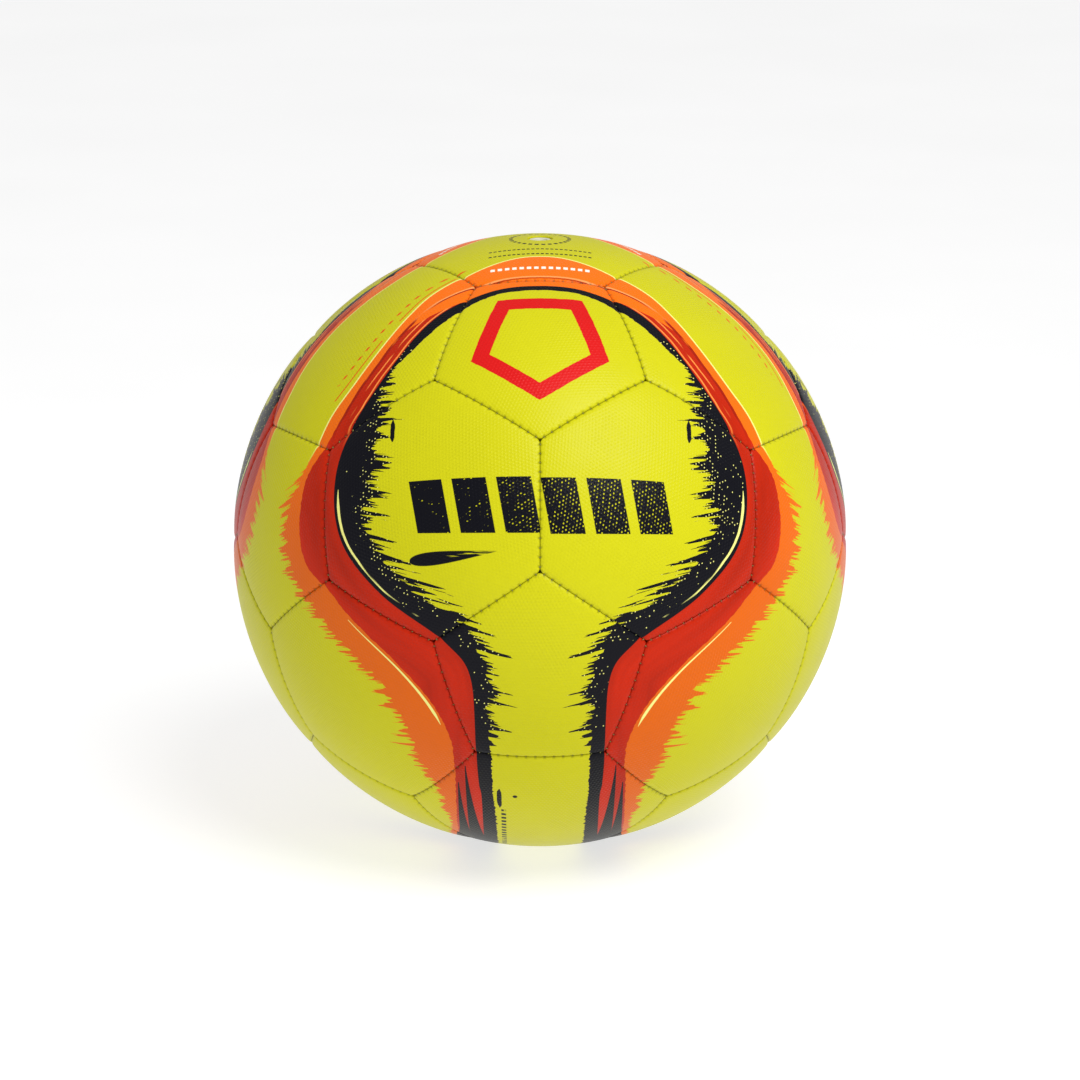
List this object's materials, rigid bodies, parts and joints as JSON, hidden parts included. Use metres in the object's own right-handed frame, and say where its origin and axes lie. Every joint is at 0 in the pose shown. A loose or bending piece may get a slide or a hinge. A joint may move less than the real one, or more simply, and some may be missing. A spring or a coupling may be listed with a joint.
{
  "type": "futsal ball",
  "caption": "Round sewn ball with pentagon and hexagon panels over foam, woven lining and a low-bounce bladder, with a needle valve on top.",
  "frame": {"origin": "the ball's centre", "axes": "+Z out through the valve's needle bore, -Y the front, where two hexagons meet on an upright seam above a pentagon, +X to the right seen from the front"},
  "size_m": [0.2004, 0.2004, 0.2004],
  "materials": {
    "cover_skin": "semi-gloss polyurethane skin, fine embossed grain, printed bands of orange, red and black",
    "foam": "closed-cell foam",
    "woven_lining": "plain-weave polyester and cotton plies",
    "thread": "waxed polyester thread",
    "patch_cloth": "bonded cloth",
    "butyl": "matt butyl rubber",
    "plug_rubber": "soft matt rubber"
  },
  "bodies": {
    "root": {"valve_hexagon": "cover_skin", "crown_pentagon_1": "cover_skin", "crown_pentagon_2": "cover_skin", "crown_pentagon_3": "cover_skin", "crown_hexagon_1": "cover_skin", "crown_hexagon_2": "cover_skin", "crown_hexagon_3": "cover_skin", "upper_hexagon_1": "cover_skin", "upper_hexagon_2": "cover_skin", "upper_hexagon_3": "cover_skin", "upper_hexagon_4": "cover_skin", "upper_hexagon_5": "cover_skin", "upper_hexagon_6": "cover_skin", "upper_pentagon_1": "cover_skin", "upper_pentagon_2": "cover_skin", "upper_pentagon_3": "cover_skin", "lower_pentagon_1": "cover_skin", "lower_pentagon_2": "cover_skin", "lower_pentagon_3": "cover_skin", "lower_hexagon_1": "cover_skin", "lower_hexagon_2": "cover_skin", "lower_hexagon_3": "cover_skin", "lower_hexagon_4": "cover_skin", "lower_hexagon_5": "cover_skin", "lower_hexagon_6": "cover_skin", "foot_hexagon_1": "cover_skin", "foot_hexagon_2": "cover_skin", "foot_hexagon_3": "cover_skin", "foot_pentagon_1": "cover_skin", "foot_pentagon_2": "cover_skin", "foot_pentagon_3": "cover_skin", "base_hexagon": "cover_skin", "hexagon_foam_pads": "foam", "pentagon_foam_pads": "foam", "valve_foam_pad": "foam", "hexagon_linings": "woven_lining", "pentagon_linings": "woven_lining", "valve_lining": "woven_lining", "seam_threads": "thread", "valve_hole_patch": "patch_cloth", "bladder": "butyl", "valve_flange": "butyl", "valve_housing": "butyl", "valve_plug": "plug_rubber", "bounce_damper": "foam"}
  },
  "joints": []
}
